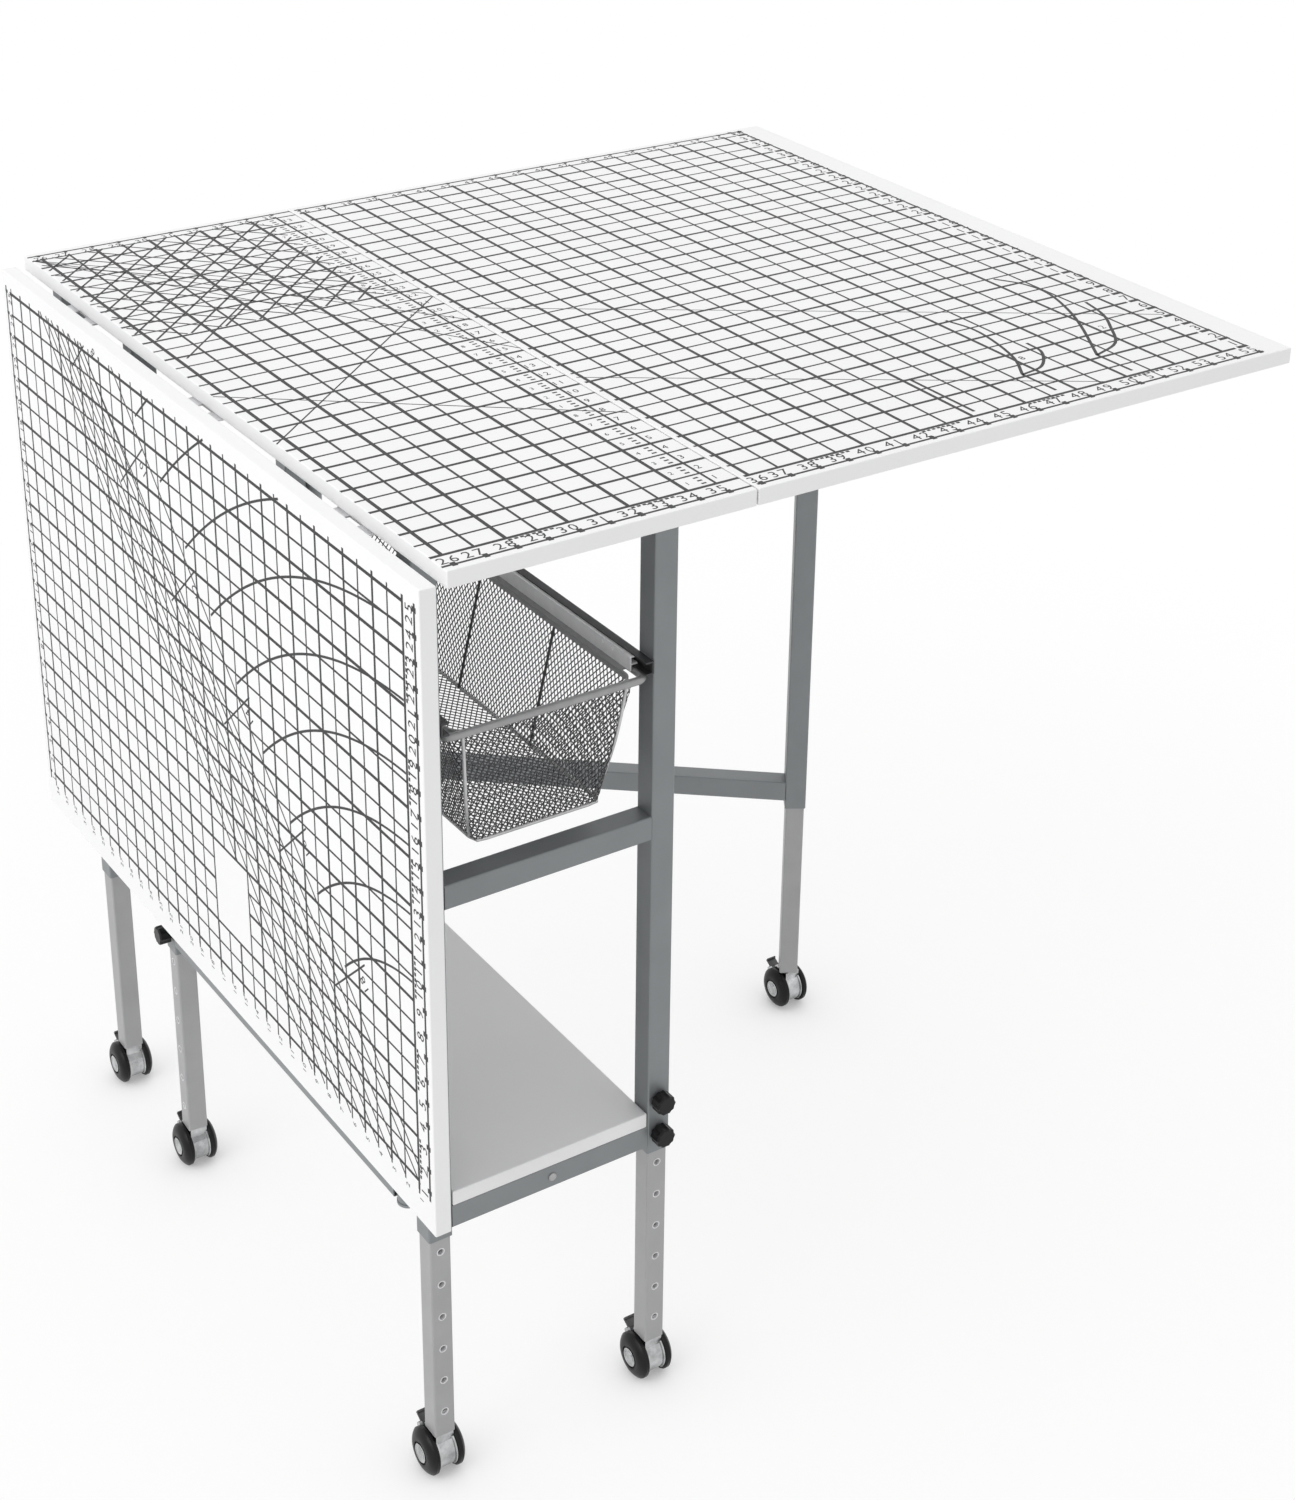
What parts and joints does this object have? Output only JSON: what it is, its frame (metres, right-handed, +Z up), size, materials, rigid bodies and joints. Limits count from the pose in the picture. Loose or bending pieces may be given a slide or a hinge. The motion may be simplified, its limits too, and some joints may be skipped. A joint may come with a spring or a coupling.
{
  "type": "folding sewing cutting table",
  "caption": "Folding cutting table: fixed centre board, two drop leaves on gate legs, telescoping wheeled legs, a low shelf and a sliding mesh basket.",
  "frame": {"origin": "on the floor below the middle of the table as it stands, with the right leaf raised and the left leaf hanging", "axes": "+Z up out of the worktop, +X from the hanging left leaf towards the raised right leaf, -Y towards the front, the side that the basket slides out of"},
  "size_m": [0.961, 0.89, 1.022],
  "materials": {
    "white_board": "satin white laminate on particle board",
    "hinge_steel": "zinc plated",
    "frame_paint": "satin grey metallic powder coat",
    "bright_steel": "plated",
    "runner_paint": "dark satin",
    "slide_steel": "zinc plated",
    "basket_paint": "dark grey powder coat",
    "leg_silver": "satin silver",
    "knob_plastic": "moulded",
    "caster_silver": "silver",
    "wheel_black": "moulded"
  },
  "bodies": {
    "frame": {"centre_board": "white_board", "centre_board_hinges": "hinge_steel", "front_left_post": "frame_paint", "front_right_post": "frame_paint", "rear_left_post": "frame_paint", "rear_right_post": "frame_paint", "front_bottom_rail": "frame_paint", "front_mid_rail": "frame_paint", "front_top_rail": "frame_paint", "rear_bottom_rail": "frame_paint", "rear_mid_rail": "frame_paint", "rear_top_rail": "frame_paint", "shelf": "white_board", "shelf_rail_screws": "bright_steel", "basket_runners": "runner_paint", "gate_hinge_brackets": "frame_paint"},
    "right_leaf": {"right_leaf_board": "white_board", "right_leaf_hinges": "hinge_steel"},
    "left_leaf": {"left_leaf_board": "white_board", "left_leaf_hinges": "hinge_steel"},
    "basket": {"basket_rim": "basket_paint", "basket_mesh": "basket_paint", "basket_slides": "slide_steel"},
    "right_gate": {"right_gate_hinge_tube": "frame_paint", "right_gate_rails": "frame_paint", "right_gate_post": "frame_paint"},
    "left_gate": {"left_gate_hinge_tube": "frame_paint", "left_gate_rails": "frame_paint", "left_gate_post": "frame_paint"},
    "front_left_leg": {"front_left_leg": "leg_silver"},
    "front_left_knobs": {"front_left_knobs": "knob_plastic"},
    "front_left_swivel": {"front_left_caster_body": "caster_silver"},
    "front_left_wheels": {"front_left_caster_wheels": "wheel_black"},
    "front_left_brake": {"front_left_caster_brake": "caster_silver"},
    "front_right_leg": {"front_right_leg": "leg_silver"},
    "front_right_knobs": {"front_right_knobs": "knob_plastic"},
    "front_right_swivel": {"front_right_caster_body": "caster_silver"},
    "front_right_wheels": {"front_right_caster_wheels": "wheel_black"},
    "front_right_brake": {"front_right_caster_brake": "caster_silver"},
    "rear_left_leg": {"rear_left_leg": "leg_silver"},
    "rear_left_knobs": {"rear_left_knobs": "knob_plastic"},
    "rear_left_swivel": {"rear_left_caster_body": "caster_silver"},
    "rear_left_wheels": {"rear_left_caster_wheels": "wheel_black"},
    "rear_left_brake": {"rear_left_caster_brake": "caster_silver"},
    "rear_right_leg": {"rear_right_leg": "leg_silver"},
    "rear_right_knobs": {"rear_right_knobs": "knob_plastic"},
    "rear_right_swivel": {"rear_right_caster_body": "caster_silver"},
    "rear_right_wheels": {"rear_right_caster_wheels": "wheel_black"},
    "rear_right_brake": {"rear_right_caster_brake": "caster_silver"},
    "right_gate_leg": {"right_gate_leg": "leg_silver"},
    "right_gate_knobs": {"right_gate_knobs": "knob_plastic"},
    "right_gate_swivel": {"right_gate_caster_body": "caster_silver"},
    "right_gate_wheels": {"right_gate_caster_wheels": "wheel_black"},
    "right_gate_brake": {"right_gate_caster_brake": "caster_silver"},
    "left_gate_leg": {"left_gate_leg": "leg_silver"},
    "left_gate_knobs": {"left_gate_knobs": "knob_plastic"},
    "left_gate_swivel": {"left_gate_caster_body": "caster_silver"},
    "left_gate_wheels": {"left_gate_caster_wheels": "wheel_black"},
    "left_gate_brake": {"left_gate_caster_brake": "caster_silver"}
  },
  "joints": [
    {"name": "left_leaf_hinge", "type": "hinge", "parent": "frame", "child": "left_leaf", "pos_m": [-0.4633, 0, 1.0048], "axis": [0, 1, 0], "range_deg": [0, 90]},
    {"name": "right_leaf_hinge", "type": "hinge", "parent": "frame", "child": "right_leaf", "pos_m": [-0.1467, 0, 1.0048], "axis": [0, -1, 0], "range_deg": [0, 4]},
    {"name": "right_gate_swing", "type": "hinge", "parent": "frame", "child": "right_gate", "pos_m": [-0.1582, 0.403, 0.6], "axis": [0, 0, 1], "range_deg": [-60.63, 0]},
    {"name": "left_gate_swing", "type": "hinge", "parent": "frame", "child": "left_gate", "pos_m": [-0.4518, -0.341, 0.6], "axis": [0, 0, 1], "range_deg": [0, 0.8]},
    {"name": "basket_slide", "type": "slide", "parent": "frame", "child": "basket", "axis": [0, -1, 0], "range_m": [0, 0.3]},
    {"name": "front_left_leg_slide", "type": "slide", "parent": "frame", "child": "front_left_leg", "axis": [0, 0, 1], "range_m": [0, 0.231]},
    {"name": "front_left_knob_release", "type": "slide", "parent": "frame", "child": "front_left_knobs", "axis": [0, 1, 0], "range_m": [0, 0.01]},
    {"name": "front_left_swivel", "type": "hinge", "parent": "front_left_leg", "child": "front_left_swivel", "pos_m": [-0.426, -0.341, 0.05], "axis": [0, 0, 1], "continuous": true},
    {"name": "front_left_wheel_spin", "type": "hinge", "parent": "front_left_swivel", "child": "front_left_wheels", "pos_m": [-0.426, -0.337, 0.0245], "axis": [1, 0, 0], "continuous": true},
    {"name": "front_left_brake_tab", "type": "hinge", "parent": "front_left_swivel", "child": "front_left_brake", "pos_m": [-0.426, -0.31535, 0.037], "axis": [1, 0, 0], "range_deg": [-14, 0]},
    {"name": "front_right_leg_slide", "type": "slide", "parent": "frame", "child": "front_right_leg", "axis": [0, 0, 1], "range_m": [0, 0.231]},
    {"name": "front_right_knob_release", "type": "slide", "parent": "frame", "child": "front_right_knobs", "axis": [0, -1, 0], "range_m": [0, 0.01]},
    {"name": "front_right_swivel", "type": "hinge", "parent": "front_right_leg", "child": "front_right_swivel", "pos_m": [-0.184, -0.341, 0.05], "axis": [0, 0, 1], "continuous": true},
    {"name": "front_right_wheel_spin", "type": "hinge", "parent": "front_right_swivel", "child": "front_right_wheels", "pos_m": [-0.184, -0.337, 0.0245], "axis": [1, 0, 0], "continuous": true},
    {"name": "front_right_brake_tab", "type": "hinge", "parent": "front_right_swivel", "child": "front_right_brake", "pos_m": [-0.184, -0.31535, 0.037], "axis": [1, 0, 0], "range_deg": [-14, 0]},
    {"name": "rear_left_leg_slide", "type": "slide", "parent": "frame", "child": "rear_left_leg", "axis": [0, 0, 1], "range_m": [0, 0.231]},
    {"name": "rear_left_knob_release", "type": "slide", "parent": "frame", "child": "rear_left_knobs", "axis": [0, 1, 0], "range_m": [0, 0.01]},
    {"name": "rear_left_swivel", "type": "hinge", "parent": "rear_left_leg", "child": "rear_left_swivel", "pos_m": [-0.426, 0.403, 0.05], "axis": [0, 0, 1], "continuous": true},
    {"name": "rear_left_wheel_spin", "type": "hinge", "parent": "rear_left_swivel", "child": "rear_left_wheels", "pos_m": [-0.426, 0.407, 0.0245], "axis": [1, 0, 0], "continuous": true},
    {"name": "rear_left_brake_tab", "type": "hinge", "parent": "rear_left_swivel", "child": "rear_left_brake", "pos_m": [-0.426, 0.42865, 0.037], "axis": [1, 0, 0], "range_deg": [-14, 0]},
    {"name": "rear_right_leg_slide", "type": "slide", "parent": "frame", "child": "rear_right_leg", "axis": [0, 0, 1], "range_m": [0, 0.231]},
    {"name": "rear_right_knob_release", "type": "slide", "parent": "frame", "child": "rear_right_knobs", "axis": [0, -1, 0], "range_m": [0, 0.01]},
    {"name": "rear_right_swivel", "type": "hinge", "parent": "rear_right_leg", "child": "rear_right_swivel", "pos_m": [-0.184, 0.403, 0.05], "axis": [0, 0, 1], "continuous": true},
    {"name": "rear_right_wheel_spin", "type": "hinge", "parent": "rear_right_swivel", "child": "rear_right_wheels", "pos_m": [-0.184, 0.407, 0.0245], "axis": [1, 0, 0], "continuous": true},
    {"name": "rear_right_brake_tab", "type": "hinge", "parent": "rear_right_swivel", "child": "rear_right_brake", "pos_m": [-0.184, 0.42865, 0.037], "axis": [1, 0, 0], "range_deg": [-14, 0]},
    {"name": "right_gate_leg_slide", "type": "slide", "parent": "right_gate", "child": "right_gate_leg", "axis": [0, 0, 1], "range_m": [0, 0.231]},
    {"name": "right_gate_knob_release", "type": "slide", "parent": "right_gate", "child": "right_gate_knobs", "axis": [0.5284, 0.849, 0], "range_m": [0, 0.01]},
    {"name": "right_gate_swivel", "type": "hinge", "parent": "right_gate_leg", "child": "right_gate_swivel", "pos_m": [0.31892, 0.10602, 0.05], "axis": [0, 0, 1], "continuous": true},
    {"name": "right_gate_wheel_spin", "type": "hinge", "parent": "right_gate_swivel", "child": "right_gate_wheels", "pos_m": [0.31892, 0.11002, 0.0245], "axis": [1, 0, 0], "continuous": true},
    {"name": "right_gate_brake_tab", "type": "hinge", "parent": "right_gate_swivel", "child": "right_gate_brake", "pos_m": [0.31892, 0.13167, 0.037], "axis": [1, 0, 0], "range_deg": [-14, 0]},
    {"name": "left_gate_leg_slide", "type": "slide", "parent": "left_gate", "child": "left_gate_leg", "axis": [0, 0, 1], "range_m": [0, 0.231]},
    {"name": "left_gate_knob_release", "type": "slide", "parent": "left_gate", "child": "left_gate_knobs", "axis": [-0.999, 0.0441, 0], "range_m": [0, 0.008]},
    {"name": "left_gate_swivel", "type": "hinge", "parent": "left_gate_leg", "child": "left_gate_swivel", "pos_m": [-0.427, 0.22045, 0.05], "axis": [0, 0, 1], "continuous": true},
    {"name": "left_gate_wheel_spin", "type": "hinge", "parent": "left_gate_swivel", "child": "left_gate_wheels", "pos_m": [-0.427, 0.22445, 0.0245], "axis": [1, 0, 0], "continuous": true},
    {"name": "left_gate_brake_tab", "type": "hinge", "parent": "left_gate_swivel", "child": "left_gate_brake", "pos_m": [-0.427, 0.2461, 0.037], "axis": [1, 0, 0], "range_deg": [-14, 0]}
  ]
}
